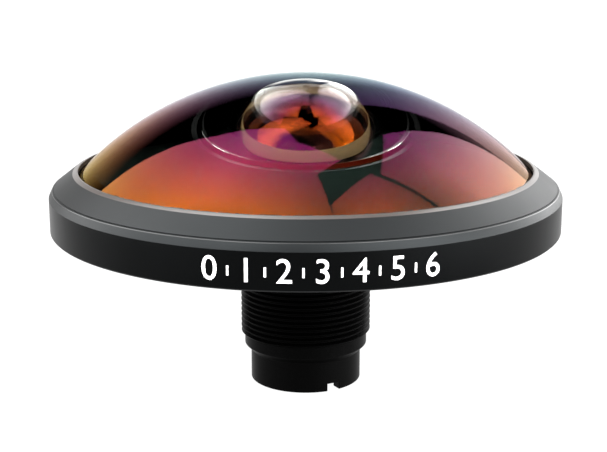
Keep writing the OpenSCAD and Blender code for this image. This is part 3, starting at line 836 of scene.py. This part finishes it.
# Soft light from white panels round and above the lens. Each panel is bounded by straight edges, given
# as the directions that face its inside and the width of the edge's blur, and is brighter away from them.
scene = bpy.context.scene
scene.view_settings.view_transform = "Standard"
SHARP = 0.012
PANELS = {
    "overhead left": ([(-0.41, -1.0, 0.524, SHARP), (-0.95, -0.3, 0.082, SHARP), (0.0, 1.0, 0.6, SHARP)],
                      4.5, 17.0),
    "left wing": ([(-0.775, -1.0, 0.357, SHARP), (-1.0, 0.8, 0.0, SHARP)], 6.0, 11.0),
    "right": ([(1.0, -0.58, 0.0, SHARP), (1.0, 0.0, -0.375, SHARP), (0.06, 1.0, -0.2, SHARP)], 5.5, 16.0),
    "overhead right": ([(1.63, -1.0, -0.361, SHARP), (1.0, 0.275, -0.089, SHARP),
                        (-0.06, -1.0, 0.185, SHARP), (1.0, 0.577, 0.33, SHARP)], 4.8, 18.0),
    "backdrop": ([(0.0, 0.65, -1.0, 0.36), (0.695, 0.719, 0.0, 0.36)], 1.5, 1.5),
    "backdrop right": ([(-0.183, 0.15, -0.124, 0.03), (1.0, 0.0, 0.0, 0.35)], 2.4, 2.4),
    "low right": ([(0.766, 0.643, 0.0, 0.2), (0.174, -0.985, 0.0, 0.2), (0.321, -0.117, -0.94, 0.2)],
                  30.0, 30.0),
    "front strip left": ([(0.0, 0.423, 0.906, 0.3), (0.0, -0.883, -0.469, 0.3), (0.259, -0.966, 0.0, 0.3),
                          (-0.97, 0.242, 0.0, 0.08)], 34.0, 34.0),
    "front strip right": ([(0.0, 0.423, 0.906, 0.3), (0.0, -0.883, -0.469, 0.3), (-0.259, -0.966, 0.0, 0.3),
                           (0.97, 0.242, 0.0, 0.08)], 42.0, 42.0),
}
PANEL_FADE = 0.5
world = bpy.data.worlds.new("light_tent")
scene.world = world
world.use_nodes = True
tree = world.node_tree
direction = add(tree, "ShaderNodeTexCoord").outputs["Generated"]
total = None
for edges, edge_level, full_level in PANELS.values():
    panel = None
    for *edge, blur in edges:
        inside = add(tree, "ShaderNodeVectorMath", [(0, direction), (1, Vector(edge).normalized())],
                     operation="DOT_PRODUCT").outputs["Value"]
        cut = add(tree, "ShaderNodeMapRange", [("Value", inside), ("From Min", 0.0), ("From Max", blur)])
        level = add(tree, "ShaderNodeMapRange", [("Value", inside), ("From Min", 0.0),
                                                 ("From Max", PANEL_FADE), ("To Min", edge_level),
                                                 ("To Max", full_level)])
        lit = add(tree, "ShaderNodeMath", [(0, cut.outputs["Result"]), (1, level.outputs["Result"])],
                  operation="MULTIPLY").outputs["Value"]
        panel = lit if panel is None else add(tree, "ShaderNodeMath", [(0, panel), (1, lit)],
                                              operation="MINIMUM").outputs["Value"]
    total = panel if total is None else add(tree, "ShaderNodeMath", [(0, total), (1, panel)],
                                            operation="MAXIMUM").outputs["Value"]

# Where the camera sees past the floor, the surroundings are plain white
seen = add(tree, "ShaderNodeLightPath").outputs["Is Camera Ray"]
plain = add(tree, "ShaderNodeMix", [("Factor", seen), ("A", total), ("B", 1.0)])
tree.links.new(plain.outputs["Result"], tree.nodes["Background"].inputs["Strength"])
tree.nodes["Background"].inputs["Color"].default_value = hex_colour("#ffffff")

# Floor: a pale table lit from below, so nothing on it throws a shadow
bm = bmesh.new()
bmesh.ops.create_circle(bm, cap_ends=True, segments=FLOOR_ROUND, radius=FLOOR_R * MM)
mesh = bpy.data.meshes.new("floor")
bm.to_mesh(mesh)
bm.free()
floor = bpy.data.objects.new("floor", mesh)
scene.collection.objects.link(floor)
paper, tree, shader = new_material("lit_table", Roughness=1.0, Specular_IOR_Level=0.0,
                                   Base_Color=hex_colour("#303030"), Emission_Strength=1.0)
place = add(tree, "ShaderNodeTexCoord").outputs["Object"]
cloud = add(tree, "ShaderNodeTexNoise", [("Vector", place), ("Scale", grain(60.0))])
shade = add(tree, "ShaderNodeMix", [("Factor", cloud.outputs["Fac"]), ("A", hex_colour("#fbfbfb")),
                                    ("B", hex_colour("#ffffff"))], data_type="RGBA")
tree.links.new(shade.outputs["Result"], shader.inputs["Emission Color"])
mesh.materials.append(paper)

# Camera
camera_data = bpy.data.cameras.new("camera")
camera = bpy.data.objects.new("camera", camera_data)
scene.collection.objects.link(camera)
camera.location = (0, -CAMERA_DISTANCE * math.cos(CAMERA_ELEVATION) * MM,
                   (CAMERA_AIM + CAMERA_DISTANCE * math.sin(CAMERA_ELEVATION)) * MM)
camera.rotation_euler = (math.pi / 2 - CAMERA_ELEVATION, 0, 0)
camera_data.sensor_width = SENSOR_W
camera_data.lens = CAMERA_LENS
camera_data.shift_x = -(AXIS_PIXEL - FRAME_W / 2) / FRAME_W
camera_data.clip_start = 0.005
camera_data.clip_end = 20.0
scene.camera = camera
